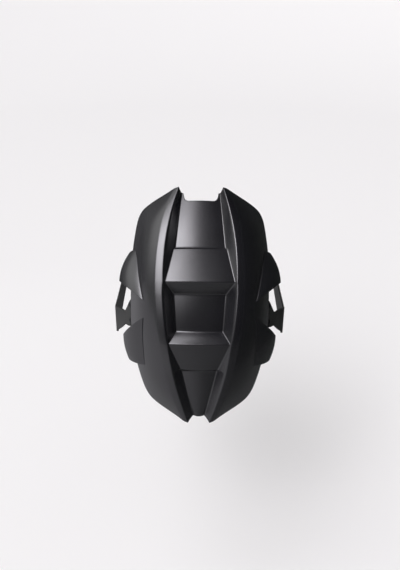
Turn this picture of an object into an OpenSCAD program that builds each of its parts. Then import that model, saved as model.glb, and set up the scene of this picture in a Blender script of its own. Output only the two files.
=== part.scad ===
// Rear hugger mudguard: one moulded shell over the back of the rear wheel,
// carried by two bent steel straps that bolt to the swingarm.
// X runs along the axle, -Y points backwards, +Z is up.
// The origin is on the front mounting bolt line, midway between the straps.

/* [Wheel] */
// Wheel centre behind the front mounting bolt line
wheel_back = 20; // [0:1:40]
// Wheel centre below the mounting bolts
wheel_drop = 38; // [20:1:50]

/* [Shell] */
// Radius of the two crest lines about the wheel centre
crest_r = 352; // [340:1:370]
// Drop from the crests to the side edges
side_drop = 65; // [50:1:75]
// Width over the two side edges
shell_w = 195; // [180:1:210]
// Moulded wall thickness
wall_t = 3; // [2.5:0.1:4]
// Angle of the horn tips above the rear horizontal
horn_angle = 53.5; // [50:0.5:58]
// Angle of the tail tips
tail_angle = -1.7; // [-6:0.1:2]
// Width lost on each side at the top
top_taper = 10; // [4:0.5:14]
// Width lost on each side at the tail
tail_taper = 21.5; // [12:0.5:26]
// Radius of the rounded outline corners
corner_r = 15; // [8:1:20]

/* [Crest lines] */
// Widest distance between the crests
crest_w = 98; // [88:1:104]
// Distance between the horn tips
horn_w = 59; // [52:1:70]
// Distance between the tail tips
tail_w = 29; // [24:1:40]
// Width of the rounded shoulder beside each crest
shoulder_w = 12; // [6:0.5:16]

/* [Channel panels] */
// Top and bottom width of the top panel
top_panel_w = [52.6, 67.6]; // [40:0.2:80]
// Top and bottom depth of the top panel below the crests
top_panel_depth = [13, 13]; // [6:0.5:18]
// Top and bottom width of the upper pad
upper_pad_w = [72.6, 92]; // [60:0.2:94]
// Top and bottom depth of the upper pad
upper_pad_depth = [10.5, 1.5]; // [0.5:0.5:16]
// Top and bottom width of the recess between the pads
recess_w = [70.4, 63.2]; // [50:0.2:80]
// Depth of the recess
recess_depth = 16; // [10:0.5:20]
// Top and bottom width of the lower pad
lower_pad_w = [82, 49.8]; // [40:0.2:84]
// Top and bottom depth of the lower pad
lower_pad_depth = [1.5, 10]; // [0.5:0.5:14]
// Top and bottom width of the tail panel
tail_panel_w = [47.6, 15]; // [10:0.2:60]
// Top and bottom depth of the tail panel
tail_panel_depth = [12.5, 9]; // [4:0.5:16]
// Rise of every panel from its edges to its middle
panel_crown = 2.5; // [0:0.5:4]

/* [Side fins] */
// Reach of the upper fins beyond the side edges
upper_fin_reach = 15; // [8:0.5:22]
// Reach of the lower fins beyond the side edges
lower_fin_reach = 10.5; // [6:0.5:18]
// Height of the upper fins' free corners above the side edges
upper_fin_rise = 11; // [2:0.5:16]
// Height of the lower fins' outer edges above the side edges
lower_fin_rise = 1; // [0:0.5:4]
// Step at the free ends of the fin roots
fin_step = 0.8; // [0:0.1:3]
// Thickness of the fins
fin_t = 3; // [2.5:0.1:4]

/* [Straps] */
// Strap steel thickness
strap_t = 3; // [2.5:0.5:4]
// Outside width over the two strap legs
strap_w = 268; // [256:2:300]
// Height of the leg where the strap bends
leg_h = 48; // [36:1:52]
// Height of the leg at its front end
leg_nose_h = 30; // [26:1:40]
// Diameter of the mounting bolt holes
mount_hole_d = 8.5; // [6.5:0.1:10.5]
// Distance between the two mounting bolts of a leg
mount_pitch = 50; // [40:1:70]
// Distance from the front bolt to the bend of the leg
leg_length = 180; // [165:1:195]
// Width of the strap's waist, before its head
waist_w = 20; // [14:1:34]

/* [Shell fixings] */
// Screw thread diameter
screw_d = 6; // [5:1:8]
// Distance between the two screws of a lug
screw_pitch = 22; // [20:1:30]
// Margin of the lug and the strap beyond each screw
screw_margin = 9; // [8:0.5:12]
// Drop of the screw line below the side edges
screw_drop = 15; // [13:1:19]
// Angle of the lug above the rear horizontal
lug_angle = 23; // [19:0.5:25]
// Thickness of the moulded lug
lug_t = 4; // [3:0.5:5]
// Clearance of the screws in their holes, on the diameter
hole_clear = 0.6; // [0.2:0.1:1]
// Screw head diameter
head_d = 10.5; // [9:0.5:14]
// Screw head height
head_h = 3.3; // [2.5:0.1:4.5]
// Washer outside diameter
washer_d = 16; // [12:0.5:18]
// Washer thickness
washer_t = 1.2; // [0.8:0.1:2]
// Nut size across the flats
nut_af = 10; // [9:0.5:13]
// Nut height
nut_h = 6; // [4:0.5:8]

/* [Hidden] */

// angles of the channel's stations, from the notch floor down to the tail
notch_drop = 2.5;
notch_angle = horn_angle - notch_drop;
top_panel_end = 39.6;
upper_pad_start = 39.1;
upper_pad_end = 31.7;
recess_start = 29;
recess_end = 20.4;
lower_pad_start = 18.2;
lower_pad_end = 11.7;
tail_panel_start = 11.2;
tail_panel_end = tail_angle + 1;

edge_r = crest_r - side_drop;
// the crests are furthest apart at one angle, the side edges between two
widest_angle = 31.5;
side_taper_angles = [25, 33];
// how late the crests close in on each other towards the tail
crest_power = 1.8;

// slopes where the shoulder starts and ends, and where the face below it starts and ends:
// first those of the middle of the shell, then those of its top and tail, where the section
// is straighter and the shoulder narrower
shoulder_slopes = [[7, 17], [20, 40]];
face_slopes = [[30, 68], [50, 64]];
narrowing = 0.67;
narrowing_angles = [14, 44];
// share of each curve's chord that its handles reach
handle_share = 0.35;

function sq(v) = v * v;
function mix(a, b, t) = a + (b - a) * t;
function unit(v) = v / norm(v);

// half distance between the crests
function crest_half(a) =
    a > widest_angle
    ? crest_w / 2 - (crest_w - horn_w) / 2 * sq((a - widest_angle) / (horn_angle - widest_angle))
    : crest_w / 2 - (crest_w - tail_w) / 2
      * pow((widest_angle - a) / (widest_angle - tail_angle), crest_power);

// half width at the side edges
function side_half(a) =
    let (low = side_taper_angles[0], high = side_taper_angles[1])
    shell_w / 2
    - top_taper * sq(max(0, a - high) / (horn_angle - high))
    - tail_taper * sq(max(0, low - a) / (low - tail_angle));

// one panel of the channel as [start angle, end angle, widths, depths]
panels = [
    [horn_angle, top_panel_end, top_panel_w, top_panel_depth],
    [upper_pad_start, upper_pad_end, upper_pad_w, upper_pad_depth],
    [recess_start, recess_end, recess_w, [recess_depth, recess_depth]],
    [lower_pad_start, lower_pad_end, lower_pad_w, lower_pad_depth],
    [tail_panel_start, tail_panel_end, tail_panel_w, tail_panel_depth]
];
panel_rows = [7, 4, 4, 3, 5];

// rows of the lofted grid as [panel, place within it from 0 to 1]
rows = [for (p = [0:len(panels) - 1]) for (k = [0:panel_rows[p]]) [p, k / panel_rows[p]]];

// foot of the channel wall in a row as [half width, radius]
function foot(row) =
    let (p = panels[row[0]])
    [mix(p[2][0], p[2][1], row[1]) / 2, crest_r - mix(p[3][0], p[3][1], row[1])];

// section of the blade outside the crest as [half width, radius], s from 0 at the crest
// to 1 at the side edge: a short rounded shoulder, then a gently crowned face
function heading(slope) = [cos(slope), -sin(slope)];
function end_share(a) =
    let (low = narrowing_angles[0], high = narrowing_angles[1])
    sq(max(0, (a - high) / (horn_angle - high), (low - a) / (low - tail_angle)));
function slopes(list, a) = mix(list[0], list[1], end_share(a));
function shoulder_end(a) =
    let (s = slopes(shoulder_slopes, a))
    [crest_half(a), crest_r]
    + shoulder_w * mix(1, narrowing, end_share(a)) * heading((s[0] + s[1]) / 2);
function curve(start, end, slopes, t) =
    let (h = norm(end - start) * handle_share, u = 1 - t)
    start * pow(u, 3) + (start + h * heading(slopes[0])) * 3 * t * sq(u)
    + (end - h * heading(slopes[1])) * 3 * sq(t) * u + end * pow(t, 3);
function shoulder(a, t) =
    curve([crest_half(a), crest_r], shoulder_end(a), slopes(shoulder_slopes, a), t);
function face(a, t) = curve(shoulder_end(a), [side_half(a), edge_r], slopes(face_slopes, a), t);

// columns of one half of the grid as [zone, place]: 0 panel, 1 crest, 2 shoulder, 3 face
notch_flat = 0.68;
columns = [[0, 0], [0, 0.34], [0, notch_flat], [0, 0.81], [0, 0.9], [0, 0.968], [0, 1], [1, 0],
           [2, 0.33], [2, 0.67], [3, 0], [3, 0.14], [3, 0.3], [3, 0.46], [3, 0.62], [3, 0.75],
           [3, 0.84], [3, 0.91], [3, 0.965], [3, 1]];

// how far a rounded corner cuts back the outline at distance d from the side edge
function corner_cut(d) = d >= corner_r ? 0 : corner_r - sqrt(sq(corner_r) - sq(corner_r - d));
function edge_distance(a, c) = norm(face(a, 1) - face(a, c[1]));
function arc_angle(length, r) = length / r * 180 / PI;

// the notch rises to the horns at its sides; from the horns the top edge slants down a little
notch_rim = 0.3;
top_slant = 1.2;
function top_angle(c) =
    c[0] == 0
    ? let (u = max(0, c[1] - notch_flat) / (1 - notch_flat))
      mix(notch_angle, horn_angle - notch_rim, 1 - sqrt(1 - sq(u)))
    : c[0] == 3
    ? horn_angle - top_slant * c[1] - arc_angle(corner_cut(edge_distance(horn_angle, c)), edge_r)
    : horn_angle;
function bottom_angle(c) =
    c[0] == 0 ? tail_panel_end
    : c[0] == 3
    ? tail_angle + arc_angle(corner_cut(edge_distance(tail_angle, c)), edge_r)
    : tail_angle;

// angle of a grid point: the first and last panels stretch to the outline, the rest are straight
function grid_angle(row, c) =
    let (p = panels[row[0]])
    row[0] == 0 ? mix(top_angle(c), p[1], row[1])
    : row[0] == len(panels) - 1 ? mix(p[0], bottom_angle(c), row[1])
    : mix(p[0], p[1], row[1]);

// a point of the section as [half width, radius], by zone
function panel_point(row, c) =
    let (f = foot(row))
    [f[0] * c[1], f[1] + panel_crown * (1 - sq(c[1]))];
function section_point(row, c, a) =
    c[0] == 0 ? panel_point(row, c)
    : c[0] == 1 ? [crest_half(a), crest_r]
    : c[0] == 2 ? shoulder(a, c[1])
    : face(a, c[1]);

// a point at half width x, radius r and angle a about the wheel centre
function polar(x, r, a) = [x, -r * cos(a) - wheel_back, r * sin(a) - wheel_drop];
function grid_point(row, c, side) =
    let (a = grid_angle(row, c), p = section_point(row, c, a))
    polar(side * p[0], p[1], a);

// the whole outer grid, from the left edge to the right edge in every row
last_column = len(columns) - 1;
outer = [for (row = rows) concat(
    [for (k = [last_column:-1:1]) grid_point(row, columns[k], -1)],
    [for (k = [0:last_column]) grid_point(row, columns[k], 1)])];

// outward normal at a grid point, from the mean directions along and across the shell
function along(g, i, j) =
    unit((i > 0 ? unit(g[i][j] - g[i - 1][j]) : [0, 0, 0])
       + (i < len(g) - 1 ? unit(g[i + 1][j] - g[i][j]) : [0, 0, 0]));
function across(g, i, j) =
    unit((j > 0 ? unit(g[i][j] - g[i][j - 1]) : [0, 0, 0])
       + (j < len(g[0]) - 1 ? unit(g[i][j + 1] - g[i][j]) : [0, 0, 0]));
function normal(g, i, j) = unit(cross(across(g, i, j), along(g, i, j)));
inner = [for (i = [0:len(outer) - 1]) [for (j = [0:len(outer[0]) - 1])
    outer[i][j] + normal(outer, i, j) * wall_t]];

// closed sheet between two grids of the same size
module sheet(top, under) {
    n = len(top);
    m = len(top[0]);
    points = concat([for (r = top) for (p = r) p], [for (r = under) for (p = r) p]);
    skin = [for (i = [0:n - 2]) for (j = [0:m - 2]) each [
        [i * m + j, i * m + j + 1, (i + 1) * m + j],
        [i * m + j + 1, (i + 1) * m + j + 1, (i + 1) * m + j]]];
    back = [for (f = skin) [f[0] + n * m, f[2] + n * m, f[1] + n * m]];
    rim = concat(
        [for (j = [0:m - 2]) [j + 1, j]],
        [for (j = [0:m - 2]) [(n - 1) * m + j, (n - 1) * m + j + 1]],
        [for (i = [0:n - 2]) [i * m, (i + 1) * m]],
        [for (i = [0:n - 2]) [(i + 1) * m + m - 1, i * m + m - 1]]);
    sides = [for (e = rim) each [[e[0], e[1], e[0] + n * m], [e[1], e[1] + n * m, e[0] + n * m]]];
    polyhedron(points, concat(skin, back, sides));
}

// side fins: each is a lofted plate between a root line on the blade and an outer edge, as
// [root angles, root places on the face, edge angles, reach and rise at both ends, bow, arch,
// free end]
upper_fin_data = [[40.6, 27.6], [0.8, 0.31], [40.4, 32.2],
                  upper_fin_reach * [0.17, 1], upper_fin_rise * [0.1, 1], 0.1, 0.4, 1];
lower_fin_data = [[23.4, 11], [0.34, 0.53], [17.3, 9.6],
                  lower_fin_reach * [1, 0.25], lower_fin_rise * [1, 1], 0.07, 0.3, 0];
fin_steps = 7;
// how quickly the roots climb the blade
root_power = 0.8;

// how free a fin is at u, from 0 where its root ends on the blade to 1 at its open end
function fin_free(f, u) = f[7] == 1 ? u : 1 - u;
// root and edge at u as [half width, radius, angle]
function fin_root(f, u) =
    let (a = mix(f[0][0], f[0][1], u), p = face(a, mix(f[1][0], f[1][1], pow(u, root_power))))
    [p[0], p[1] + fin_step * fin_free(f, u), a];
function fin_edge(f, u) =
    [shell_w / 2 + mix(f[3][0], f[3][1], f[7] == 1 ? 1 - sq(1 - u) : sq(u)),
     edge_r + mix(f[4][0], f[4][1], u), mix(f[2][0], f[2][1], u)];

// fin surface: w runs from 0 at the root to 1 at the edge, bows outwards between them and
// arches upwards at the free end; under is 0 on the outer face and 1 on the inner one
function fin_point(f, u, w, under) =
    let (root = fin_root(f, u), edge = fin_edge(f, u), chord = edge - root,
         length = norm([chord[0], chord[1]]), out = [-chord[1], chord[0]] / length,
         depth = under * mix(fin_t / 2 + fin_step * fin_free(f, u), fin_t, w),
         middle = 4 * w * (1 - w), lift = length * f[5] * middle - depth)
    polar(mix(root[0], edge[0], w) + out[0] * lift, mix(root[1], edge[1], w) + out[1] * lift,
          mix(root[2], edge[2], w) + f[6] * middle * fin_free(f, u));

module fin(f) {
    faces = [for (under = [0, 1]) [for (i = [0:fin_steps]) [for (k = [0:fin_steps])
        fin_point(f, i / fin_steps, k / fin_steps, under)]]];
    sheet(faces[0], faces[1]);
}
module upper_fin() { fin(upper_fin_data); }
module lower_fin() { fin(lower_fin_data); }

// both sides of the shell: a part drawn on the right and its mirror image
module both_sides() {
    children();
    mirror([1, 0, 0]) children();
}

// point of the side plane, as [y, z], at radius r and angle a about the wheel centre
function side_point(r, a) = [-r * cos(a) - wheel_back, r * sin(a) - wheel_drop];

// the lug hangs below the side edge between the fins, its outer face seats the strap
lug_inset = 2.5;
lug_face = shell_w / 2 - lug_inset;
lug_w = screw_pitch + 2 * screw_margin;
lug_depth = 11;
lug_corner = 8;
lug_foot_corner = 1;
lug_root = edge_r + wall_t;
// radius of the screw line about the wheel centre
lug_r = edge_r - screw_drop;
// how much wider the lug is at its root, inside the shell
lug_spread = 1.4;
screw_angles = [for (i = [-1, 1]) lug_angle + i * arc_angle(screw_pitch / 2, lug_r)];

// a flat outline drawn in the side plane, first axis Y and second axis Z, made solid from x on
module in_side_plane(x, thickness) {
    translate([x, 0, 0]) rotate([90, 0, 90]) linear_extrude(thickness) children();
}
// how far each cutting tool stands proud of what it cuts
proud = 1;
// something that points outwards along X, at both screws of the right lug
module at_screws(x) {
    for (a = screw_angles)
        translate([x, side_point(lug_r, a)[0], side_point(lug_r, a)[1]]) rotate([0, 90, 0]) children();
}

module lug() {
    half = arc_angle(lug_w / 2 - lug_corner, lug_r);
    in_side_plane(lug_face - lug_t, lug_t) hull() {
        for (i = [-1, 1]) {
            translate(side_point(lug_r - lug_depth + lug_corner, lug_angle + i * half))
                circle(lug_corner, $fn = 32);
            translate(side_point(lug_root - lug_foot_corner, lug_angle + i * half * lug_spread))
                circle(lug_foot_corner, $fn = 16);
        }
    }
}

module shell() {
    color([0.12, 0.12, 0.13]) difference() {
        union() {
            sheet(outer, inner);
            both_sides() {
                upper_fin();
                lower_fin();
                lug();
            }
        }
        both_sides() at_screws(lug_face - lug_t - proud)
            cylinder(lug_t + 2 * proud, d = screw_d + hole_clear, $fn = 40);
    }
}

// strap: a flat steel blank that runs back from the mounting bolts, bends inwards and upwards,
// narrows to a waist and ends in a flat head on the outer face of the lug
leg_end = [-leg_length, 0];
// length of the head before its screws, and beyond them up to a gap below the side edge
head_flat = 14;
head_gap = 4;
head_reach = screw_drop - head_gap;
head_start = side_point(lug_r - head_flat, lug_angle);
run_length = norm(head_start - leg_end);
run_dir = (head_start - leg_end) / run_length;
run_lean = atan2(run_dir[1], -run_dir[0]);
// lengths over which the blank turns from the leg into the run, and from the run into the head
leg_turn = 30;
head_turn = 22;
// places along the run of the waist and of the full width of the head, and the waist's share
// above the middle line of the blank
waist_place = 0.52;
full_place = 0.84;
waist_share = 0.3;
bend_in = strap_w / 2 - strap_t - lug_face;
// how late the leg widens towards its bend
leg_power = 1.6;
// share of the sideways bend at place s of the run: straight, with a rounded bend at each end
bend_share = 0.14;
function joggle(s) =
    let (b = bend_share, top = 1 / (1 - b))
    s <= 0 ? 0 : s >= 1 ? 1
    : s < b ? top * sq(s) / 2 / b
    : s > 1 - b ? 1 - top * sq(1 - s) / 2 / b
    : top * (s - b / 2);
function ease(t) = let (u = max(0, min(1, t))) u * u * (3 - 2 * u);

// reach of the blank from its middle line at place s of the run, on the side that takes this
// share of the waist
function run_reach(s, share) =
    s < waist_place
    ? mix(leg_h / 2, waist_w * share, s / waist_place)
    : mix(waist_w * share, lug_w / 2, ease((s - waist_place) / (full_place - waist_place)));

// strap stations as [x, y, z, reach above and below the middle line, lean of the blank]
function even_station(x, p, reach, lean) = [x, p[0], p[1], reach, reach, lean];
function nose_station(t) =
    even_station(0, [leg_nose_h / 2 * cos(t), 0], leg_nose_h / 2 * sin(t), 0);
function leg_station(u) =
    even_station(0, leg_end * u, mix(leg_nose_h, leg_h, pow(u, leg_power)) / 2, 0);
function run_station(l) =
    let (p = leg_end + run_dir * l, s = l / run_length)
    [-bend_in * joggle(s), p[0], p[1], run_reach(s, waist_share), run_reach(s, 1 - waist_share),
     run_lean * ease(l / leg_turn)
     + (lug_angle - run_lean) * ease((l - run_length + head_turn) / head_turn)];
function head_station(l, reach) =
    even_station(-bend_in, side_point(lug_r - head_flat + l, lug_angle), reach, lug_angle);
head_corner = 6;
head_end = head_flat + head_reach - head_corner;
strap_stations = concat(
    [for (t = [12:13:90]) nose_station(t)],
    [for (u = [0.15:0.17:0.85]) leg_station(u)],
    [for (l = [0:3:15]) run_station(l)],
    [for (l = [22:7:waist_place * run_length - 4]) run_station(l)],
    [for (k = [0:12]) run_station(run_length * mix(waist_place, 1, k / 12))],
    [head_station(head_end, lug_w / 2)],
    [for (t = [22.5:22.5:67.5]) head_station(head_end + head_corner * sin(t),
                                             lug_w / 2 - head_corner * (1 - cos(t)))]);

module right_strap() {
    rail = [for (q = strap_stations)
        let (across = [sin(q[5]), cos(q[5])])
        [for (reach = [q[3], -q[4]])
            [strap_w / 2 + q[0], q[1] + reach * across[0], q[2] + reach * across[1]]]];
    under = [for (r = rail) [for (p = r) p - [strap_t, 0, 0]]];
    color([0.1, 0.1, 0.11]) difference() {
        sheet(rail, under);
        for (i = [0, 1])
            translate([strap_w / 2 - strap_t - proud, -i * mount_pitch, 0]) rotate([0, 90, 0])
                cylinder(strap_t + 2 * proud, d = mount_hole_d, $fn = 48);
        at_screws(lug_face - proud)
            cylinder(strap_t + 2 * proud, d = screw_d + hole_clear, $fn = 40);
    }
}
module left_strap() { mirror([1, 0, 0]) right_strap(); }

// button head screws: heads on the strap's tab, shanks through tab, lug, washer and nut
screw_end = 1.8;
screw_length = strap_t + lug_t + washer_t + nut_h + screw_end;
head_dome = 0.62;
socket_af = 4;
socket_depth = 2;
module right_screws() {
    color([0.3, 0.3, 0.32]) at_screws(lug_face + strap_t) {
        difference() {
            intersection() {
                cylinder(head_h, d = head_d, $fn = 48);
                translate([0, 0, head_h - head_d * head_dome]) sphere(head_d * head_dome, $fn = 48);
            }
            translate([0, 0, head_h - socket_depth])
                cylinder(socket_depth + proud, d = socket_af / cos(30), $fn = 6);
        }
        translate([0, 0, -screw_length]) cylinder(screw_length, d = screw_d, $fn = 48);
    }
}
module left_screws() { mirror([1, 0, 0]) right_screws(); }

washer_clear = 0.4;
module right_washers() {
    color([0.75, 0.76, 0.78]) at_screws(lug_face - lug_t - washer_t) difference() {
        cylinder(washer_t, d = washer_d, $fn = 48);
        translate([0, 0, -proud]) cylinder(washer_t + 2 * proud, d = screw_d + washer_clear, $fn = 40);
    }
}
module left_washers() { mirror([1, 0, 0]) right_washers(); }

// lock nuts: a hexagon with a round collar at the far end, threads drawn as a close bore
nut_collar = 1.6;
collar_step = 0.4;
thread_clear = 0.1;
module right_nuts() {
    color([0.72, 0.73, 0.75]) at_screws(lug_face - lug_t - washer_t - nut_h) difference() {
        union() {
            cylinder(nut_collar, d = nut_af - 2 * collar_step, $fn = 48);
            translate([0, 0, nut_collar]) cylinder(nut_h - nut_collar, d = nut_af / cos(30), $fn = 6);
        }
        translate([0, 0, -proud]) cylinder(nut_h + 2 * proud, d = screw_d + thread_clear, $fn = 48);
    }
}
module left_nuts() { mirror([1, 0, 0]) right_nuts(); }

shell();
left_strap();
right_strap();
left_screws();
right_screws();
left_washers();
right_washers();
left_nuts();
right_nuts();
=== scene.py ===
# Rear hugger mudguard: a satin moulded shell on two bent steel straps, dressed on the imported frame
import math

import bmesh
import bpy
from mathutils import Matrix, Vector


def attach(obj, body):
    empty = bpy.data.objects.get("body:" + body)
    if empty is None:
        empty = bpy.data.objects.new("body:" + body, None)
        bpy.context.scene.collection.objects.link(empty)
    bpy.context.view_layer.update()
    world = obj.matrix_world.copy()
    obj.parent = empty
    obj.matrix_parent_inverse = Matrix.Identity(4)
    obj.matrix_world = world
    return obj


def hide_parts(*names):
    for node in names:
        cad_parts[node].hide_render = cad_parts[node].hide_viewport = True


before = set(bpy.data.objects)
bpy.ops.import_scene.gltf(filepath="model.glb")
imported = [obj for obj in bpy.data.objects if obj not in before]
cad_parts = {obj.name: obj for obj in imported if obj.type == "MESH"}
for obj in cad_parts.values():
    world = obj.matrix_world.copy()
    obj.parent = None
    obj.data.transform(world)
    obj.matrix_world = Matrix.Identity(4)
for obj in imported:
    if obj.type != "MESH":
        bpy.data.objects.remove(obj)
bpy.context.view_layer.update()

mm = 0.001
print("frame loaded:", ", ".join(sorted(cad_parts)))


# small helpers

def mix(a, b, t):
    return a + (b - a) * t


def linearColour(hexCode):
    # sRGB hex to the linear values that shaders use
    channels = [int(hexCode[i:i + 2], 16) / 255 for i in (1, 3, 5)]
    linear = [c / 12.92 if c <= 0.04045 else ((c + 0.055) / 1.055) ** 2.4 for c in channels]
    return (*linear, 1)


def addNode(tree, kind, settings={}, links={}):
    node = tree.nodes.new(kind)
    for name, value in settings.items():
        if isinstance(name, str) and hasattr(node, name):
            setattr(node, name, value)
        else:
            node.inputs[name].default_value = value
    for socket, source in links.items():
        tree.links.new(source, node.inputs[socket])
    return node


def newMaterial(name):
    material = bpy.data.materials.new(name)
    material.use_nodes = True
    material.node_tree.nodes.clear()
    return material, material.node_tree


def linkObject(name, mesh):
    piece = bpy.data.objects.new(name, mesh)
    bpy.context.scene.collection.objects.link(piece)
    return piece


def bakeModifiers(piece):
    # the evaluated mesh becomes the piece's own mesh
    graph = bpy.context.evaluated_depsgraph_get()
    baked = bpy.data.meshes.new_from_object(piece.evaluated_get(graph))
    piece.modifiers.clear()
    piece.data = baked


def shadeSmooth(piece, degrees):
    for face in piece.data.polygons:
        face.use_smooth = True
    piece.data.set_sharp_from_angle(angle=math.radians(degrees))


# camera and light

view = {
    "wheelCentre": (0, -20, -38),   # mm, in the frame
    "distance": 1223,               # mm from the wheel centre
    "elevation": 30,                # degrees above the horizon
    "roll": 0.6,                    # degrees, the photo leans a little
    "sensor": 36,                   # mm
    "focalPixels": 665,
    "frameHeight": 570,
    "aimAbove": 9.2,                # mm above the wheel centre along the picture's up
}


def addCamera():
    up = math.radians(view["elevation"])
    centre = Vector(view["wheelCentre"]) * mm
    back = Vector((0, -math.cos(up), math.sin(up)))
    upward = Vector((0, math.sin(up), math.cos(up)))
    camera = bpy.data.cameras.new("camera")
    camera.sensor_width = view["sensor"]
    camera.lens = view["sensor"] * view["focalPixels"] / view["frameHeight"]
    holder = bpy.data.objects.new("camera", camera)
    bpy.context.scene.collection.objects.link(holder)
    place = centre + back * view["distance"] * mm
    aim = centre + upward * view["aimAbove"] * mm
    turn = (place - aim).to_track_quat("Z", "Y").to_matrix().to_4x4()
    holder.matrix_world = (Matrix.Translation(place) @ turn
                           @ Matrix.Rotation(math.radians(view["roll"]), 4, "Z"))
    bpy.context.scene.camera = holder


studio = {
    "floor": "#f6f6f2",
    "floorDrop": 344,               # mm below the frame's origin, where the tyre would stand
    "floorFlat": 2500,              # mm from the middle to where the cove starts
    # a cove rises round the floor, so that low views meet no horizon
    "coveBend": 14000,              # where it stops bending
    "coveSlope": 1.2,
    "coveReach": 40000,
    "coveRings": 30,
    "sides": 96,                    # of the floor's and the cove's outlines
    # a long soft box from behind the camera to overhead, as distant lamps: degrees to the left
    # of upright, degrees above the horizon behind the camera, degrees across, and strength
    "softBox": ((22.5, 46, 36, 0.52), (22.5, 53, 36, 0.52), (22.5, 61, 36, 0.52), (22.5, 78, 36, 0.52),
                (14, 98, 24, 0.3), (22.5, 32, 32, 0.13)),
    "lampColour": "#fbf8ff",
    # soft fill from straight above, which lights surfaces but makes no highlight
    "fillStrength": 0.7,
    "fillSoftness": 90,
    # the room: a bright side on the left, a dim one on the right, and a window high on the left
    "left": 0.28,
    "middle": 0.07,
    "right": 0.015,
    "leftReach": (-0.15, -0.9),     # a ray's share of X where that side starts and is full
    "rightReach": (-0.1, 0.5),
    "window": 0.8,
    "windowTowards": (-0.77, 0.12, 0.62),
    "windowEdge": 0.8,              # cosine of its angular reach
    # grey cards that only reflections meet, as flags in a studio: painted shade in the reflections. One
    # beside the object keeps its right side dark, one on the floor its lower panels, lighter on the
    # left and darker on the right and far ahead, as painted light and shade of the room. Centre, length
    # and height in mm, and one colour, or the colours at the left, at the right and far ahead
    "sideCard": ((700, 100, 350), 2600, 1400, ["#2c2f2c"]),
    "floorCard": ((0, 0, -343), 12000, 12000, ["#b4b4b4", "#4c4e4c", "#5c5c5c"]),
    "cardAcross": (0.43, 0.545),    # shares of a card over which left turns to right
    "cardAhead": (0.535, 0.558),    # and near to far
}


def addLamp(name, towards, strength, softness):
    lamp = bpy.data.lights.new(name, "SUN")
    lamp.energy = strength
    lamp.angle = math.radians(softness)
    lamp.color = linearColour(studio["lampColour"])[:3]
    holder = bpy.data.objects.new(name, lamp)
    bpy.context.scene.collection.objects.link(holder)
    holder.rotation_euler = towards.to_track_quat("Z", "Y").to_euler()
    return holder


def addLamps():
    for lean, height, softness, strength in studio["softBox"]:
        a, h = math.radians(lean), math.radians(height)
        towards = Vector((-math.sin(a), -math.cos(a) * math.cos(h), math.cos(a) * math.sin(h)))
        addLamp("softBox", towards, strength, softness)
    fill = addLamp("fill", Vector((0, 0, 1)), studio["fillStrength"], studio["fillSoftness"])
    fill.visible_glossy = False


def addRoom():
    world = bpy.data.worlds.new("room")
    world.use_nodes = True
    tree = world.node_tree
    tree.nodes.clear()
    ray = addNode(tree, "ShaderNodeTexCoord").outputs["Generated"]
    across = addNode(tree, "ShaderNodeSeparateXYZ", {}, {0: ray}).outputs["X"]
    leftPart = addNode(tree, "ShaderNodeMapRange", {
        "interpolation_type": "SMOOTHSTEP",
        "From Min": studio["leftReach"][0], "From Max": studio["leftReach"][1],
        "To Min": studio["middle"], "To Max": studio["left"]}, {"Value": across})
    rightPart = addNode(tree, "ShaderNodeMapRange", {
        "interpolation_type": "SMOOTHSTEP",
        "From Min": studio["rightReach"][0], "From Max": studio["rightReach"][1],
        "To Min": 0, "To Max": studio["middle"] - studio["right"]}, {"Value": across})
    sides = addNode(tree, "ShaderNodeMath", {"operation": "SUBTRACT"}, {
        0: leftPart.outputs[0], 1: rightPart.outputs[0]})
    towards = addNode(tree, "ShaderNodeVectorMath", {
        "operation": "DOT_PRODUCT", 1: Vector(studio["windowTowards"]).normalized()}, {0: ray})
    window = addNode(tree, "ShaderNodeMapRange", {
        "interpolation_type": "SMOOTHSTEP", "From Min": studio["windowEdge"], "From Max": 1,
        "To Min": 0, "To Max": studio["window"]}, {"Value": towards.outputs["Value"]})
    level = addNode(tree, "ShaderNodeMath", {"operation": "ADD"}, {
        0: sides.outputs[0], 1: window.outputs[0]})
    glow = addNode(tree, "ShaderNodeBackground", {"Color": (1, 1, 1, 1)}, {
        "Strength": level.outputs[0]})
    addNode(tree, "ShaderNodeOutputWorld", {}, {"Surface": glow.outputs[0]})
    bpy.context.scene.world = world


def coveHeight(reach):
    flat, bend = studio["floorFlat"], studio["coveBend"]
    curved = max(0, min(reach, bend) - flat)
    return studio["coveSlope"] * (curved ** 2 / (bend - flat) / 2 + max(0, reach - bend))


def roundSheet(name, reaches):
    # one reach gives a filled disc, and several give rings that rise with the cove
    sides = studio["sides"]
    corners = []
    for reach in reaches:
        for k in range(sides):
            a = 2 * math.pi * k / sides
            corners.append(Vector((reach * math.cos(a), reach * math.sin(a), coveHeight(reach))) * mm)
    faces = [tuple(range(sides))] if len(reaches) == 1 else []
    for ring in range(len(reaches) - 1):
        for k in range(sides):
            here, after = ring * sides + k, ring * sides + (k + 1) % sides
            faces.append((here, here + sides, after + sides, after))
    mesh = bpy.data.meshes.new(name)
    mesh.from_pydata(corners, [], faces)
    for face in mesh.polygons:
        face.use_smooth = True
    sheet = linkObject(name, mesh)
    sheet.location.z = -studio["floorDrop"] * mm
    sheet.visible_glossy = False    # reflections meet the grey floor card instead
    return sheet


def addFloor():
    flat, rings = studio["floorFlat"], studio["coveRings"]
    growth = studio["coveReach"] / flat
    material, tree = newMaterial("paintedFloor")
    paint = addNode(tree, "ShaderNodeBsdfPrincipled", {
        "Base Color": linearColour(studio["floor"]), "Roughness": 0.7})
    addNode(tree, "ShaderNodeOutputMaterial", {}, {"Surface": paint.outputs[0]})
    floor = roundSheet("floor", [flat])
    cove = roundSheet("cove", [flat * growth ** (k / rings) for k in range(rings + 1)])
    cove.visible_shadow = cove.visible_diffuse = False  # it neither blocks nor adds light
    for sheet in (floor, cove):
        sheet.data.materials.append(material)


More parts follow.
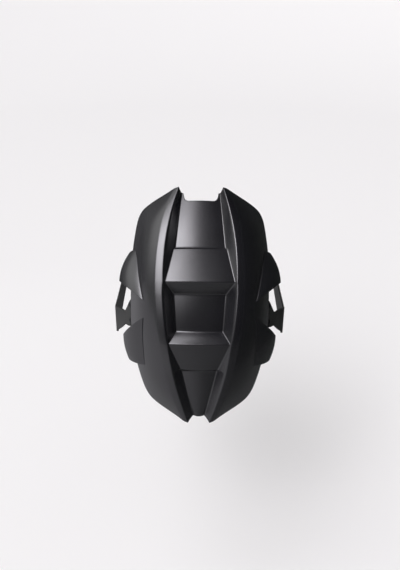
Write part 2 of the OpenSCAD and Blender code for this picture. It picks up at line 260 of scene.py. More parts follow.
def addCard(name):
    (x, y, z), length, height, colours = studio[name]
    mesh = bpy.data.meshes.new(name)
    corners = [(-1, -1), (1, -1), (1, 1), (-1, 1)]
    mesh.from_pydata([(a * length * mm / 2, b * height * mm / 2, 0) for a, b in corners],
                     [], [(0, 1, 2, 3)])
    card = linkObject(name, mesh)
    card.location = Vector((x, y, z)) * mm
    if name == "sideCard":
        card.rotation_euler = (math.pi / 2, 0, math.pi / 2)
    card.visible_camera = card.visible_diffuse = card.visible_shadow = False
    material, tree = newMaterial("greyCard")
    paints = [linearColour(colour) for colour in colours]
    paper = addNode(tree, "ShaderNodeBsdfPrincipled", {"Roughness": 1, "Base Color": paints[0]})
    addNode(tree, "ShaderNodeOutputMaterial", {}, {"Surface": paper.outputs[0]})
    # lighter on the left, darker on the right and far ahead: painted light and shade that only
    # reflections show
    if len(paints) > 1:
        left, right, ahead = paints
        place = addNode(tree, "ShaderNodeTexCoord").outputs["Generated"]
        place = addNode(tree, "ShaderNodeSeparateXYZ", {}, {0: place})
        shares = []
        for axis, reach in (("X", "cardAcross"), ("Y", "cardAhead")):
            share = addNode(tree, "ShaderNodeMapRange", {
                "interpolation_type": "SMOOTHSTEP", "From Min": studio[reach][0],
                "From Max": studio[reach][1]}, {"Value": place.outputs[axis]})
            shares.append(share.outputs[0])
        near = addNode(tree, "ShaderNodeMix", {"data_type": "RGBA", 6: left, 7: right}, {
            0: shares[0]})
        blend = addNode(tree, "ShaderNodeMix", {"data_type": "RGBA", 7: ahead}, {
            0: shares[1], 6: near.outputs[2]})
        tree.links.new(blend.outputs[2], paper.inputs["Base Color"])
    mesh.materials.append(material)


addCamera()
addCard("sideCard")
addCard("floorCard")
addLamps()
addRoom()
addFloor()
bpy.context.scene.view_settings.view_transform = "Standard"
print("camera and studio ready")


# materials

moulded = {
    "name": "satinMouldedAbs",
    "base": "#101013",
    "sheenTint": "#15151a",
    "roughness": 0.25,
    "glossRange": (-0.015, 0.02),
    "grain": 0.9,        # mm; the tool's real spark grain is about 0.3 mm, too fine to show
    "grainDepth": 0.012,
    "grainBump": 0.15,
    "flow": 60,          # mm between the faint cloudy changes of gloss
}


def mouldedPlastic():
    # ABS from a spark-eroded tool: black through and through, with a fine even grain
    # that breaks the highlights up softly, and a slightly uneven gloss
    material, tree = newMaterial(moulded["name"])
    place = addNode(tree, "ShaderNodeTexCoord").outputs["Object"]
    grain = addNode(tree, "ShaderNodeTexNoise", {
        "Scale": 1 / (moulded["grain"] * mm), "Detail": 2, "Roughness": 0.5}, {"Vector": place})
    cloud = addNode(tree, "ShaderNodeTexNoise", {
        "Scale": 1 / (moulded["flow"] * mm), "Detail": 1}, {"Vector": place})
    colour = addNode(tree, "ShaderNodeMix", {
        "data_type": "RGBA", 6: linearColour(moulded["base"]),
        7: linearColour(moulded["sheenTint"])}, {0: cloud.outputs["Fac"]})
    gloss = addNode(tree, "ShaderNodeMapRange", {
        "From Min": 0.3, "From Max": 0.7,
        "To Min": moulded["roughness"] + moulded["glossRange"][0],
        "To Max": moulded["roughness"] + moulded["glossRange"][1]}, {"Value": cloud.outputs["Fac"]})
    bump = addNode(tree, "ShaderNodeBump", {
        "Strength": moulded["grainBump"], "Distance": moulded["grainDepth"] * mm},
        {"Height": grain.outputs["Fac"]})
    plastic = addNode(tree, "ShaderNodeBsdfPrincipled", {"IOR": 1.62, "Specular IOR Level": 1}, {
        "Base Color": colour.outputs[2], "Roughness": gloss.outputs[0], "Normal": bump.outputs[0]})
    addNode(tree, "ShaderNodeOutputMaterial", {}, {"Surface": plastic.outputs[0]})
    return material


coated = {
    "name": "powderCoatedSteel",
    "base": "#2b2c2a",
    "roughness": 0.5,
    "glossRange": 0.05,
    "peel": 1.4,         # mm between the ripples of the coat
    "peelDepth": 0.02,
    "peelBump": 0.5,
}


def powderCoat():
    # powder coat over laser-cut steel: near-black, with an orange-peel ripple
    material, tree = newMaterial(coated["name"])
    place = addNode(tree, "ShaderNodeTexCoord").outputs["Object"]
    peel = addNode(tree, "ShaderNodeTexNoise", {
        "Scale": 1 / (coated["peel"] * mm), "Detail": 1.5}, {"Vector": place})
    gloss = addNode(tree, "ShaderNodeMapRange", {
        "To Min": coated["roughness"] - coated["glossRange"],
        "To Max": coated["roughness"] + coated["glossRange"]}, {"Value": peel.outputs["Fac"]})
    bump = addNode(tree, "ShaderNodeBump", {
        "Strength": coated["peelBump"], "Distance": coated["peelDepth"] * mm},
        {"Height": peel.outputs["Fac"]})
    paint = addNode(tree, "ShaderNodeBsdfPrincipled", {
        "Base Color": linearColour(coated["base"]), "IOR": 1.5}, {
        "Roughness": gloss.outputs[0], "Normal": bump.outputs[0]})
    addNode(tree, "ShaderNodeOutputMaterial", {}, {"Surface": paint.outputs[0]})
    return material


plated = {
    "oxide": ("blackOxideSteel", "#3a3b3e", 0.38),
    "zinc": ("zincPlatedSteel", "#c3c6ca", 0.3),
    "glossRange": (-0.06, 0.08),
    "crystal": 0.8,      # mm; real plating crystals are far finer, too fine to show
}


def platedSteel(kind):
    # plated fastener steel: bright metal with a faint crystal speckle in its gloss
    name, hexCode, roughness = plated[kind]
    material, tree = newMaterial(name)
    place = addNode(tree, "ShaderNodeTexCoord").outputs["Object"]
    crystals = addNode(tree, "ShaderNodeTexVoronoi", {
        "Scale": 1 / (plated["crystal"] * mm)}, {"Vector": place})
    gloss = addNode(tree, "ShaderNodeMapRange", {
        "To Min": roughness + plated["glossRange"][0],
        "To Max": roughness + plated["glossRange"][1]}, {"Value": crystals.outputs["Distance"]})
    metal = addNode(tree, "ShaderNodeBsdfPrincipled", {
        "Base Color": linearColour(hexCode), "Metallic": 1}, {"Roughness": gloss.outputs[0]})
    addNode(tree, "ShaderNodeOutputMaterial", {}, {"Surface": metal.outputs[0]})
    return material


natural = {
    "name": "naturalNylon",
    "base": "#d9d5c8",
    "pale": "#e6e3d9",
    "roughness": 0.45,
    "cloud": 1.5,        # mm between its milky patches
}


def mouldedNylon():
    # natural nylon of the nuts' locking rings: milky and slightly uneven
    material, tree = newMaterial(natural["name"])
    place = addNode(tree, "ShaderNodeTexCoord").outputs["Object"]
    cloud = addNode(tree, "ShaderNodeTexNoise", {
        "Scale": 1 / (natural["cloud"] * mm)}, {"Vector": place})
    colour = addNode(tree, "ShaderNodeMix", {
        "data_type": "RGBA", 6: linearColour(natural["base"]), 7: linearColour(natural["pale"])},
        {0: cloud.outputs["Fac"]})
    ring = addNode(tree, "ShaderNodeBsdfPrincipled", {
        "IOR": 1.53, "Roughness": natural["roughness"]}, {"Base Color": colour.outputs[2]})
    addNode(tree, "ShaderNodeOutputMaterial", {}, {"Surface": ring.outputs[0]})
    return material


satinAbs = mouldedPlastic()
coat = powderCoat()
oxide = platedSteel("oxide")
zinc = platedSteel("zinc")
nylon = mouldedNylon()
print("materials ready")


# moulded shell

shell = {
    "crestRadius": 352,
    "sideDrop": 65,
    "width": 195,
    "wall": 3,
    "hornAngle": 53.5,
    "tailAngle": -1.7,
    "topTaper": 10,
    "tailTaper": 21.5,
    "taperAngles": (25, 33),        # below and above which the side edges come in
    "cornerRadius": 15,
    "topLean": 1.2,                 # degrees that the top edge falls from crest to side
    "crestWidth": 98,
    "hornWidth": 59,
    "tailWidth": 29,
    "crestPowers": (2, 1.8),        # how late the crests close in, towards the horns and the tail
    "shoulderWidth": 12,
    # slopes at both ends of the shoulder and of the face below it: in the middle of the shell,
    # and at its top and tail, where the section is straighter and the shoulder narrower
    "shoulderSlopes": ((7, 17), (20, 40)),
    "faceSlopes": ((30, 68), (50, 64)),
    "narrowing": 0.67,
    "narrowingAngles": (14, 44),
    "handleShare": 0.35,
    "widestAngle": 31.5,
    "panelCrown": 2.5,
    "panelInset": 0.3,              # degrees that the channel's walls end below the horns
    "notchDrop": 2.5,
    "notchFlat": 0.68,
    "notchSide": 0.92,
    # each panel of the channel: start and end angle, widths, depths below the crests, rows
    "panels": [
        (53.5, 39.6, (52.6, 67.6), (13, 13), 7),
        (39.1, 31.7, (72.6, 92), (10.5, 1.5), 4),
        (29, 20.4, (70.4, 63.2), (16, 16), 4),
        (18.2, 11.7, (82, 49.8), (1.5, 10), 3),
        (11.2, -0.7, (47.6, 15), (12.5, 9), 6),
    ],
    "rolledStep": 2,     # the slope below this panel is rolled out by a share of its height
    "roll": 0.06,
    "edgeGap": 0.035,    # share of a panel between its end and the supporting row beside it
    "slopeRows": (0.12, 0.37, 0.63, 0.88),  # places of rows on a slope between two panels
    "creases": (0.05, 0.3),  # of the mould edges, about 3 mm round after smoothing, and of the rim
    "smoothing": 2,
    "sharpAngle": 28,
}
edgeRadius = shell["crestRadius"] - shell["sideDrop"]


def polar(x, radius, angle):
    # a point about the wheel centre, in metres
    a = math.radians(angle)
    wheel = view["wheelCentre"]
    return Vector((x, wheel[1] - radius * math.cos(a), wheel[2] + radius * math.sin(a))) * mm


def crestHalf(angle):
    widest, top = shell["widestAngle"], angle > shell["widestAngle"]
    end, width = ("hornAngle", "hornWidth") if top else ("tailAngle", "tailWidth")
    share = (angle - widest) / (shell[end] - widest)
    drop = (shell["crestWidth"] - shell[width]) / 2
    return shell["crestWidth"] / 2 - drop * share ** shell["crestPowers"][0 if top else 1]


def sideHalf(angle):
    low, high = shell["taperAngles"]
    top = max(0, angle - high) / (shell["hornAngle"] - high)
    tail = max(0, low - angle) / (low - shell["tailAngle"])
    return shell["width"] / 2 - shell["topTaper"] * top ** 2 - shell["tailTaper"] * tail ** 2


def heading(slope):
    a = math.radians(slope)
    return Vector((math.cos(a), -math.sin(a)))


def curve(start, end, leans, t):
    pull, s = (end - start).length * shell["handleShare"], 1 - t
    first, last = start + pull * heading(leans[0]), end - pull * heading(leans[1])
    return start * s ** 3 + first * 3 * t * s * s + last * 3 * t * t * s + end * t ** 3


def crestPoint(angle):
    return Vector((crestHalf(angle), shell["crestRadius"]))


def endShare(angle):
    # 0 along the middle of the shell, rising to 1 at the horns and at the tail
    low, high = shell["narrowingAngles"]
    top = (angle - high) / (shell["hornAngle"] - high)
    tail = (low - angle) / (low - shell["tailAngle"])
    return max(0, top, tail) ** 2


def slopes(name, angle):
    middle, end = shell[name]
    return [mix(a, b, endShare(angle)) for a, b in zip(middle, end)]


def shoulderEnd(angle):
    width = shell["shoulderWidth"] * mix(1, shell["narrowing"], endShare(angle))
    return crestPoint(angle) + width * heading(sum(slopes("shoulderSlopes", angle)) / 2)


def shoulderPoint(angle, t):
    return curve(crestPoint(angle), shoulderEnd(angle), slopes("shoulderSlopes", angle), t)


def facePoint(angle, t):
    edge = Vector((sideHalf(angle), edgeRadius))
    return curve(shoulderEnd(angle), edge, slopes("faceSlopes", angle), t)


def shellColumns():
    # zone and place of each column from the middle out to one side edge
    flat, high = shell["notchFlat"], shell["notchSide"]
    panel = [0, 0.3, 0.55, flat, 0.77, 0.85, 0.895, high, 0.955, 1]
    wall = [0.22, 0.5, 0.78]
    shoulder = [0, 0.2, 0.5, 0.8]
    face = [0, 0.1, 0.24, 0.4, 0.56, 0.7, 0.81, 0.89, 0.95, 0.985, 1]
    return ([("panel", t) for t in panel] + [("wall", t) for t in wall]
            + [("shoulder", t) for t in shoulder] + [("face", t) for t in face])


def shellRows():
    rows = []
    gap = shell["edgeGap"]
    for index, panel in enumerate(shell["panels"]):
        count = panel[4]
        places = [0, gap] + [k / count for k in range(1, count)] + [1 - gap, 1]
        rows += [(index, t) for t in places]
    # slopes between two panels that are far apart get rows of their own
    full = []
    for here, after in zip(rows, rows[1:] + [None]):
        full.append((here[0], here[1], 0))
        if after and after[0] != here[0]:
            reach = shell["panels"][here[0]][1] - shell["panels"][after[0]][0]
            between = shell["slopeRows"] if reach > 1 else [0.5]
            full += [(here[0], 1, t) for t in between]
    return full


def cornerCut(distance):
    r = shell["cornerRadius"]
    return 0 if distance >= r else r - math.sqrt(r * r - (r - distance) ** 2)


def arcAngle(length, radius):
    return math.degrees(length / radius)


def outlineAngle(zone, t, top):
    end = shell["hornAngle"] if top else shell["tailAngle"]
    if zone == "face":
        gap = (facePoint(end, 1) - facePoint(end, t)).length
        cut = arcAngle(cornerCut(gap), edgeRadius)
        return end - shell["topLean"] * t - cut if top else end + cut
    if zone == "shoulder":
        return end
    panelEnd = end - shell["panelInset"] if top else shell["panels"][-1][1]
    if zone == "wall":
        return mix(panelEnd, end, t)
    if not top:
        return panelEnd
    rise = max(0, t - shell["notchFlat"]) / (shell["notchSide"] - shell["notchFlat"])
    rise = min(1, rise)
    return mix(end - shell["notchDrop"], panelEnd, 1 - math.sqrt(1 - rise * rise))


def rowState(index, place, zone, t):
    # angle, half width and depth of the channel foot in one row, for one column
    panel = shell["panels"][index]
    start, end = panel[0], panel[1]
    if index == 0:
        start = outlineAngle(zone, t, True)
    if index == len(shell["panels"]) - 1:
        end = outlineAngle(zone, t, False)
    widths, depths = panel[2], panel[3]
    return (mix(start, end, place), mix(widths[0], widths[1], place) / 2,
            mix(depths[0], depths[1], place))


def shellPoint(row, column, side):
    index, place, between = row
    zone, t = column
    state = rowState(index, place, zone, t)
    if between:
        after = rowState(index + 1, 0, zone, t)
        roll = 4 * shell["roll"] * between * (1 - between) if index == shell["rolledStep"] else 0
        shares = (between, between, between + roll)
        state = tuple(mix(a, b, share) for a, b, share in zip(state, after, shares))
    angle, half, depth = state
    foot = Vector((half, shell["crestRadius"] - depth))
    crest = Vector((crestHalf(angle), shell["crestRadius"]))
    if zone == "panel":
        point = Vector((half * t, foot.y + shell["panelCrown"] * (1 - t * t)))
    elif zone == "wall":
        point = foot.lerp(crest, t)
    elif zone == "shoulder":
        point = shoulderPoint(angle, t)
    else:
        point = facePoint(angle, t)
    return polar(side * point.x, point.y, angle)


def gridNormals(grid):
    # outward normal of each point from the mean directions along and across the sheet
    def mean(before, here, after):
        total = Vector((0, 0, 0))
        if before is not None:
            total += (here - before).normalized()
        if after is not None:
            total += (after - here).normalized()
        return total.normalized()
    rows, columns = len(grid), len(grid[0])
    normals = []
    for i in range(rows):
        line = []
        for j in range(columns):
            here = grid[i][j]
            along = mean(grid[i - 1][j] if i else None, here, grid[i + 1][j] if i < rows - 1 else None)
            across = mean(grid[i][j - 1] if j else None, here,
                          grid[i][j + 1] if j < columns - 1 else None)
            line.append(along.cross(across).normalized())
        normals.append(line)
    return normals


def closedSheet(name, top, under, creases, levels, sharpFrom=18):
    # closed mesh between two grids; edges that turn sharply keep a crease while it is smoothed,
    # one inside the sheet and another along its rim
    rows, columns = len(top), len(top[0])
    mesh = bmesh.new()
    layers = [[[mesh.verts.new(p) for p in line] for line in grid] for grid in (top, under)]
    upper, lower = layers
    for i in range(rows - 1):
        for j in range(columns - 1):
            mesh.faces.new((upper[i][j], upper[i + 1][j], upper[i + 1][j + 1], upper[i][j + 1]))
            mesh.faces.new((lower[i][j], lower[i][j + 1], lower[i + 1][j + 1], lower[i + 1][j]))
    border = [(0, j) for j in range(columns - 1)] + [(i, columns - 1) for i in range(rows - 1)]
    border += [(rows - 1, j) for j in range(columns - 1, 0, -1)]
    border += [(i, 0) for i in range(rows - 1, 0, -1)]
    rim = set()
    for (i, j), (m, n) in zip(border, border[1:] + border[:1]):
        face = mesh.faces.new((upper[i][j], upper[m][n], lower[m][n], lower[i][j]))
        rim.update(face.edges)
    bmesh.ops.recalc_face_normals(mesh, faces=mesh.faces)
    weights = mesh.edges.layers.float.new("crease_edge")
    for edge in mesh.edges:
        if edge.calc_face_angle(0) > math.radians(sharpFrom):
            edge[weights] = creases[1] if edge in rim else creases[0]
    data = bpy.data.meshes.new(name)
    mesh.to_mesh(data)
    mesh.free()
    piece = linkObject(name, data)
    if levels:
        smooth = piece.modifiers.new("smooth", "SUBSURF")
        smooth.levels = smooth.render_levels = levels
        bakeModifiers(piece)
    return piece


def buildShellSheet():
    half = shellColumns()
    columns = [(c, -1) for c in reversed(half[1:])] + [(c, 1) for c in half]
    outer = [[shellPoint(row, c, side) for c, side in columns] for row in shellRows()]
    normals = gridNormals(outer)
    wall = shell["wall"] * mm
    inner = [[p - n * wall for p, n in zip(line, ns)] for line, ns in zip(outer, normals)]
    return closedSheet("shellSkin", outer, inner, shell["creases"], shell["smoothing"])


# side fins: lofted plates between a root on the blade and a free outer edge

fins = {
    "step": 0.8,                    # mm that the free ends of the roots stand above the blade
    "thickness": 3,
    "steps": 14,
    "rim": (0.012, 0.04),           # places of the supporting rows beside each edge
    "rootPower": 0.8,
    "creases": (0.36, 0.36),
    # root angles, root places on the face, edge angles, reach and rise at both ends, bow, arch
    "upper": ((40.6, 27.6), (0.8, 0.31), (40.4, 32.2), (2.5, 15), (1.1, 11), 0.1, 0.4),
    "lower": ((23.4, 11), (0.34, 0.53), (17.3, 9.6), (10.5, 2.6), (1, 1), 0.07, 0.3),
}


def finPoint(kind, along, across, side, depth=0):
    angles, places, edgeAngles, reach, rise, bow, arch = fins[kind]
    upper = kind == "upper"
    free = along if upper else 1 - along
    root = facePoint(mix(*angles, along), mix(*places, along ** fins["rootPower"]))
    root = Vector((root.x, root.y + fins["step"] * free))
    bend = 1 - (1 - along) ** 2 if upper else along ** 2
    edge = Vector((shell["width"] / 2 + mix(*reach, bend), edgeRadius + mix(*rise, along)))
    middle = 4 * across * (1 - across)
    chord = (edge - root).length
    outwards = Vector((root.y - edge.y, edge.x - root.x)).normalized()
    rootDepth = fins["thickness"] / 2 + fins["step"] * free
    lift = chord * bow * middle - depth * mix(rootDepth, fins["thickness"], across)
    point = root.lerp(edge, across) + outwards * lift
    angle = mix(mix(*angles, along), mix(*edgeAngles, along), across) + arch * middle * free
    return polar(side * point.x, point.y, angle)


def buildFin(kind, side):
    steps = fins["steps"]
    rim = [0, *fins["rim"]]
    support = rim + [k / steps for k in range(1, steps)] + [1 - t for t in reversed(rim)]
    grids = [[[finPoint(kind, u, v, side, depth) for v in support] for u in support]
             for depth in (0, 1)]
    return closedSheet(kind + "Fin", grids[0], grids[1], fins["creases"], 1)


# lugs: flat ears below the side edges that take the strap screws

lug = {
    "face": 95,          # mm from the middle plane to the face that seats the strap
    "thickness": 4,
    "screwRadius": 272,
    "angle": 23,
    "screwPitch": 22,
    "margin": 9,
    "depth": 11,
    "corner": 8,
    "sink": 3,           # mm that it runs up into the shell's side edge
    "edgeEase": 0.5,
    "hole": 6.6,
}
lugHalf = lug["screwPitch"] / 2 + lug["margin"]


def sideTurn(angle):
    # plane of the side: first axis outwards from the wheel, second along the arc
    a = math.radians(angle)
    return Vector((0, -math.cos(a), math.sin(a))), Vector((0, math.sin(a), math.cos(a)))


def screwCentres(side):
    half = arcAngle(lug["screwPitch"] / 2, lug["screwRadius"])
    return [polar(side * lug["face"], lug["screwRadius"], lug["angle"] + k * half) for k in (-1, 1)]


def extrudedOutline(name, outline, side, start, thickness, bevel):
    # a flat outline in the side plane, made solid along X and eased at its edges
    mesh = bmesh.new()
    low = [mesh.verts.new(p + Vector((side * start * mm - p.x, 0, 0))) for p in outline]
    cap = mesh.faces.new(low)
    grown = bmesh.ops.extrude_face_region(mesh, geom=[cap])["geom"]
    for v in grown:
        if isinstance(v, bmesh.types.BMVert):
            v.co.x += side * thickness * mm
    bmesh.ops.recalc_face_normals(mesh, faces=mesh.faces)
    data = bpy.data.meshes.new(name)
    mesh.to_mesh(data)
    mesh.free()
    piece = linkObject(name, data)
    if bevel:
        easing = piece.modifiers.new("easing", "BEVEL")
        easing.width, easing.segments, easing.limit_method = bevel * mm, 2, "ANGLE"
        bakeModifiers(piece)
    return piece


def buildLug(side):
    outwards, along = sideTurn(lug["angle"])
    centre = polar(0, lug["screwRadius"], lug["angle"])
    corner, depth, steps = lug["corner"], lug["depth"], 8
    top = edgeRadius + lug["sink"] - lug["screwRadius"]
    outline = [centre + (outwards * top + along * end) * mm for end in (-lugHalf, lugHalf)]
    for turn, start in ((1, 0), (-1, 90)):
        for k in range(steps + 1):
            a = math.radians(start + 90 * k / steps)
            outline.append(centre + (along * turn * (lugHalf - corner + corner * math.cos(a))
                                     - outwards * (depth - corner + corner * math.sin(a))) * mm)
    return extrudedOutline("lugPlate", outline, side, lug["face"] - lug["thickness"],
                           lug["thickness"], lug["edgeEase"])


def roundBar(name, centre, radius, start, length, sides=48):
    # a bar along X from start, both in mm
    mesh = bmesh.new()
    bmesh.ops.create_cone(mesh, cap_ends=True, segments=sides, radius1=radius * mm,
                          radius2=radius * mm, depth=length * mm)
    bmesh.ops.rotate(mesh, verts=mesh.verts, matrix=Matrix.Rotation(math.pi / 2, 3, "Y"))
    bmesh.ops.translate(mesh, verts=mesh.verts,
                        vec=Vector(((start + length / 2) * mm, centre.y, centre.z)))
    data = bpy.data.meshes.new(name)
    mesh.to_mesh(data)
    mesh.free()
    return linkObject(name, data)


def combine(piece, tool, how):
    change = piece.modifiers.new("combine", "BOOLEAN")
    change.operation, change.solver, change.object = how, "EXACT", tool
    bakeModifiers(piece)
    bpy.data.objects.remove(tool)


shellSkin = buildShellSheet()
for side in (-1, 1):
    for part in (buildFin("upper", side), buildFin("lower", side), buildLug(side)):
        combine(shellSkin, part, "UNION")
    for centre in screwCentres(side):
        start = side * (lug["face"] - lug["thickness"] / 2) - lug["thickness"]
        combine(shellSkin, roundBar("drill", centre, lug["hole"] / 2, start, 2 * lug["thickness"]),
                "DIFFERENCE")
shadeSmooth(shellSkin, shell["sharpAngle"])
shellSkin.data.materials.clear()
shellSkin.data.materials.append(satinAbs)
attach(shellSkin, "root")
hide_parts("shell")
shellSkin.data.calc_loop_triangles()
print("shell:", len(shellSkin.data.loop_triangles), "triangles")


# straps: flat steel blanks with a leg, a bent run that narrows to a waist, and a flat head

strap = {
    "width": 268,        # mm over both straps
    "thickness": 3,
    "legLength": 180,
    "legHeight": 48,
    "noseHeight": 30,
    "legPower": 1.6,
    "legTurn": 60,       # mm over which the blank leans from the leg into the run
    "headTurn": 22,
    "waist": 20,
    "waistPlace": 0.52,
    "waistShare": 0.3,   # of the waist, above the blank's middle line
    "fullPlace": 0.84,
    "headFlat": 14,
    "headReach": 11,
    "headCorner": 6,
    "bendShare": 0.14,
    "mountHole": 8.5,
    "mountPitch": 50,
    "edgeEase": 0.4,     # mm, the tumbled edge of the blank
    "easeAngle": 50,     # degrees, above which an edge is eased
    "sharpAngle": 30,
    "lines": (1, 0.75, 0.4, 0, -0.4, -0.75, -1),    # across the blank, from its top edge down
}


def ease(t):
    t = max(0, min(1, t))
    return t * t * (3 - 2 * t)


def joggle(s):
    # share of the sideways bend: straight, with a rounded bend at each end
    b = strap["bendShare"]
    top = 1 / (1 - b)
    if s <= 0 or s >= 1:
        return 0 if s <= 0 else 1
    if s < b:
        return top * s * s / 2 / b
    return 1 - top * (1 - s) ** 2 / 2 / b if s > 1 - b else top * (s - b / 2)


def sidePoint(radius, angle):
    point = polar(0, radius, angle) / mm
    return Vector((point.y, point.z))


headStart = sidePoint(lug["screwRadius"] - strap["headFlat"], lug["angle"])
legEnd = Vector((-strap["legLength"], 0))
run = headStart - legEnd
runLean = math.degrees(math.atan2(run.y, -run.x))
bendIn = strap["width"] / 2 - strap["thickness"] - lug["face"]


def evenStation(x, point, reach, lean):
    # place of the blank's middle, its reach above and below it in mm, and its lean in degrees
    return x, point.x, point.y, reach, reach, lean


def runReach(s, share):
    narrow = strap["waist"] * share
    if s < strap["waistPlace"]:
        return mix(strap["legHeight"] / 2, narrow, s / strap["waistPlace"])
    t = (s - strap["waistPlace"]) / (strap["fullPlace"] - strap["waistPlace"])
    return mix(narrow, lugHalf, ease(t))


def runStation(s):
    point, length = legEnd + run * s, run.length * s
    lean = (runLean * ease(length / strap["legTurn"])
            + (lug["angle"] - runLean) * ease(1 - (run.length - length) / strap["headTurn"]))
    share = strap["waistShare"]
    return (-bendIn * joggle(s), point.x, point.y, runReach(s, share), runReach(s, 1 - share), lean)


def headStation(length, reach):
    point = sidePoint(lug["screwRadius"] - strap["headFlat"] + length, lug["angle"])
    return evenStation(-bendIn, point, reach, lug["angle"])


def strapStations():
    nose, corner = strap["noseHeight"] / 2, strap["headCorner"]
    noseSteps, legSteps, runSteps, headSteps, cornerSteps = 15, 24, 60, 4, 9
    stations = []
    for k in range(1, noseSteps + 1):
        a = math.radians(90 * k / noseSteps)
        stations.append(evenStation(0, Vector((nose * math.cos(a), 0)), nose * math.sin(a), 0))
    for k in range(1, legSteps):
        u = k / legSteps
        height = mix(strap["noseHeight"], strap["legHeight"], u ** strap["legPower"])
        stations.append(evenStation(0, legEnd * u, height / 2, 0))
    stations += [runStation(k / runSteps) for k in range(runSteps + 1)]
    start = strap["headFlat"] + strap["headReach"] - corner
    stations += [headStation(start * k / headSteps, lugHalf) for k in range(1, headSteps + 1)]
    for k in range(1, cornerSteps):
        a = math.radians(90 * k / cornerSteps)
        stations.append(headStation(start + corner * math.sin(a),
                                    lugHalf - corner * (1 - math.cos(a))))
    return stations


def buildStrap(side):
    outer = []
    for x, y, z, above, below, lean in strapStations():
        a = math.radians(lean)
        line = []
        for place in strap["lines"]:
            reach = place * (above if place > 0 else below)
            line.append(Vector((side * (strap["width"] / 2 + x), y + reach * math.sin(a),
                                z + reach * math.cos(a))) * mm)
        outer.append(line)
    normals = gridNormals(outer)
    steel = side * strap["thickness"] * mm
    inner = [[p - n * steel for p, n in zip(line, ns)] for line, ns in zip(outer, normals)]
    piece = closedSheet("leftStrap" if side < 0 else "rightStrap", outer, inner, (0, 0), 0)
    thickness, face = strap["thickness"], strap["width"] / 2 - strap["thickness"]
    drills = [(Vector((0, -k * strap["mountPitch"], 0)) * mm, strap["mountHole"], face) for k in (0, 1)]
    drills += [(centre, lug["hole"], lug["face"]) for centre in screwCentres(side)]
    for centre, bore, start in drills:
        middle = side * (start + thickness / 2)
        combine(piece, roundBar("drill", centre, bore / 2, middle - thickness, 2 * thickness),
                "DIFFERENCE")
    tumbled = piece.modifiers.new("tumbled", "BEVEL")
    tumbled.width, tumbled.segments = strap["edgeEase"] * mm, 2
    tumbled.limit_method, tumbled.angle_limit = "ANGLE", math.radians(strap["easeAngle"])
    bakeModifiers(piece)
    return piece


# fasteners: turned about the screw axes

fastener = {
    "screwRadius": 3,
    "pitch": 1,
    "pitchRows": 10,     # rows of points for each turn of the thread
    "threadDepth": 0.6,
    "threadStart": 9,    # mm below the head
    "endChamfer": 0.45,
    "screwLength": 16,
    "headRadius": 5.25,
    "headHeight": 3.3,
    "headEase": 0.15,
    "domeRadius": 6.51,
    "domeStart": 2.4,    # radius of the dome's first row, inside the socket's mouth
    "domeRows": 12,
    "socketFlats": 4,
    "socketDepth": 2,
    "socketCone": 0.7,   # mm that the drill's point goes below the socket
    "mouthChamfer": 0.3,
    "washerRadius": 8,
    "washerBore": 3.2,
    "washerThickness": 1.2,
    "washerRound": 0.4,
    "washerEdge": 0.1,
    "washerMouth": 0.2,
    "nutFlats": 10,
    "nutHeight": 6,
    "nutBore": 3.05,
    "nutRows": 12,
    "nutMouth": (0.5, 0.45),
    "nutChamfer": 0.05,
    "neckRound": 0.1,
    "collarHeight": 1.6,
    "collarRadius": 4.6,
    "collarWall": 0.75,
    "sharpAngle": 32,
}
seat = lug["face"] + strap["thickness"]         # where the heads bear
washerSeat = lug["face"] - lug["thickness"]     # where the washers bear
nutSeat = washerSeat - fastener["washerThickness"]


def turned(name, profile, centre, side, ring=False, form=None, steps=72):
    # a body about a screw's axis; profile is (distance from the middle plane, radius) in mm,
    # closed for a ring, and form may change a radius by its place and angle
    mesh = bmesh.new()
    loops = []
    for x, radius in profile:
        loop = []
        for k in range(steps):
            a = 2 * math.pi * k / steps
            r = (form(x, radius, a) if form else radius) * mm
            loop.append(mesh.verts.new((side * x * mm, centre.y + r * math.cos(a),
                                        centre.z + r * math.sin(a))))
        loops.append(loop)
    for here, after in zip(loops, loops[1:] + (loops[:1] if ring else [])):
        for k in range(steps):
            n = (k + 1) % steps
            mesh.faces.new((here[k], here[n], after[n], after[k]))
    if not ring:
        mesh.faces.new(loops[0])
        mesh.faces.new(loops[-1])
    bmesh.ops.recalc_face_normals(mesh, faces=mesh.faces)
    data = bpy.data.meshes.new(name)
    mesh.to_mesh(data)
    mesh.free()
    return linkObject(name, data)


def hexagonRadius(flats, a):
    third = math.pi / 3
    return flats / 2 / math.cos((a + third / 2) % third - third / 2)


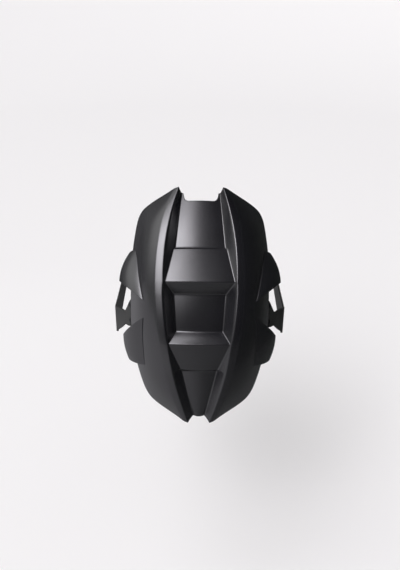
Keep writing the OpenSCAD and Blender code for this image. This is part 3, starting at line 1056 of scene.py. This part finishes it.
def buildScrew(centre, side):
    radius, dome = fastener["headRadius"], fastener["domeRadius"]
    top = seat + fastener["headHeight"]
    end = seat - fastener["screwLength"]
    threadTop = seat - fastener["threadStart"]
    profile = []
    for k in range(fastener["domeRows"] + 1):
        r = mix(fastener["domeStart"], radius, k / fastener["domeRows"])
        profile.append((top - dome + math.sqrt(dome ** 2 - r ** 2), r))
    rounding = fastener["headEase"]
    profile += [(seat + rounding, radius), (seat, radius - rounding), (seat, fastener["screwRadius"])]
    count = round((threadTop - end) / fastener["pitch"] * fastener["pitchRows"])
    profile += [(mix(threadTop, end, k / count), fastener["screwRadius"]) for k in range(count + 1)]

    def thread(x, r, a):
        if x > threadTop:
            return r
        phase = (x / fastener["pitch"] - side * a / (2 * math.pi)) % 1
        runOut = min(1, (threadTop - x) / fastener["pitch"])
        return min(r - fastener["threadDepth"] * runOut * (1 - abs(2 * phase - 1)),
                   r - fastener["endChamfer"] + (x - end))
    piece = turned("screw", profile, centre, side, form=thread)

    flats = fastener["socketFlats"] / 2
    floor = top - fastener["socketDepth"]

    def socket(x, r, a):
        # six flats, apart from the round point of the drill
        return r if r < flats else r * hexagonRadius(1, a) * 2
    key = [(top + 1, flats), (floor, flats), (floor - fastener["socketCone"], 0.1)]
    combine(piece, turned("key", key, centre, side, form=socket), "DIFFERENCE")
    # a chamfer of 45 degrees that only just breaks the socket's corners
    mouth = flats / math.cos(math.pi / 6) + fastener["mouthChamfer"]
    chamfer = [(top + height, mouth + height) for height in (0.6, -0.75)]
    combine(piece, turned("mouth", chamfer, centre, side), "DIFFERENCE")
    return piece


def buildWasher(centre, side):
    # stamped: rounded over on one face, sharp on the other
    outer, bore = fastener["washerRadius"], fastener["washerBore"]
    high, low = washerSeat, nutSeat
    edge, rounding, mouth = fastener["washerEdge"], fastener["washerRound"], fastener["washerMouth"]
    middle = 0.3 * rounding     # where a quarter round stands halfway
    profile = [(high, bore), (high, outer - edge), (high - edge, outer), (low + rounding, outer),
               (low + middle, outer - middle), (low, outer - rounding), (low, bore + mouth),
               (low + mouth, bore)]
    return turned("washer", profile, centre, side, ring=True)


def buildNut(centre, side):
    flats, bore = fastener["nutFlats"], fastener["nutBore"]
    high, low = nutSeat, nutSeat - fastener["nutHeight"]
    neck, rounding = low + fastener["collarHeight"], fastener["neckRound"]
    collar, wall, rows = fastener["collarRadius"], fastener["collarWall"], fastener["nutRows"]
    corner = flats / 2 / math.cos(math.pi / 6)
    body = [(mix(high, neck, k / rows), corner) for k in range(rows + 1)]
    rim = [(neck, collar + rounding), (neck - rounding, collar)]
    # the collar is rolled over the nylon ring: mm above the nut's end, and in from the side
    rolled = ((0.5, 0), (0.15, 0.15), (0, 0.5), (0.05, 0.7), (0.25, wall))
    rim += [(low + rise, collar - inset) for rise, inset in rolled]
    insert = [(low + 0.25, bore + 0.1), (low + 0.35, bore)]
    depth, widening = fastener["nutMouth"]
    thread = [(high - depth, bore), (high, bore + widening)]

    def hexagon(x, r, a):
        if r != corner:
            return r
        chamfer = min(high - x, (x - neck) + rounding) * math.sqrt(3)   # 30 degrees
        return min(hexagonRadius(flats, a), flats / 2 - fastener["nutChamfer"] + chamfer)
    piece = turned("nut", body + rim + insert + thread, centre, side, ring=True, form=hexagon)
    for face in piece.data.polygons:
        # the nylon ring in the collar
        middle = abs(face.center.x / mm)
        reach = math.hypot(face.center.y - centre.y, face.center.z - centre.z) / mm
        if middle < neck and reach < collar - wall:
            face.material_index = 1
    return piece


def joinPieces(name, pieces):
    mesh = bmesh.new()
    for piece in pieces:
        mesh.from_mesh(piece.data)
        bpy.data.objects.remove(piece)
    data = bpy.data.meshes.new(name)
    mesh.to_mesh(data)
    mesh.free()
    return linkObject(name, data)


def dress(piece, materials, node, degrees):
    piece.data.materials.clear()
    for material in materials:
        piece.data.materials.append(material)
    shadeSmooth(piece, degrees)
    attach(piece, "root")
    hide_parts(node)


for side, word in ((-1, "left"), (1, "right")):
    dress(buildStrap(side), [coat], word + "_strap", strap["sharpAngle"])
    for kind, build, finish, slot in (("Screws", buildScrew, [oxide], "screw_steel"),
                                      ("Washers", buildWasher, [zinc], "washer_steel"),
                                      ("Nuts", buildNut, [zinc, nylon], "nut_steel")):
        pieces = [build(centre, side) for centre in screwCentres(side)]
        dress(joinPieces(word + kind, pieces), finish, word + "_" + kind.lower(),
              fastener["sharpAngle"])
print("straps and fasteners ready")
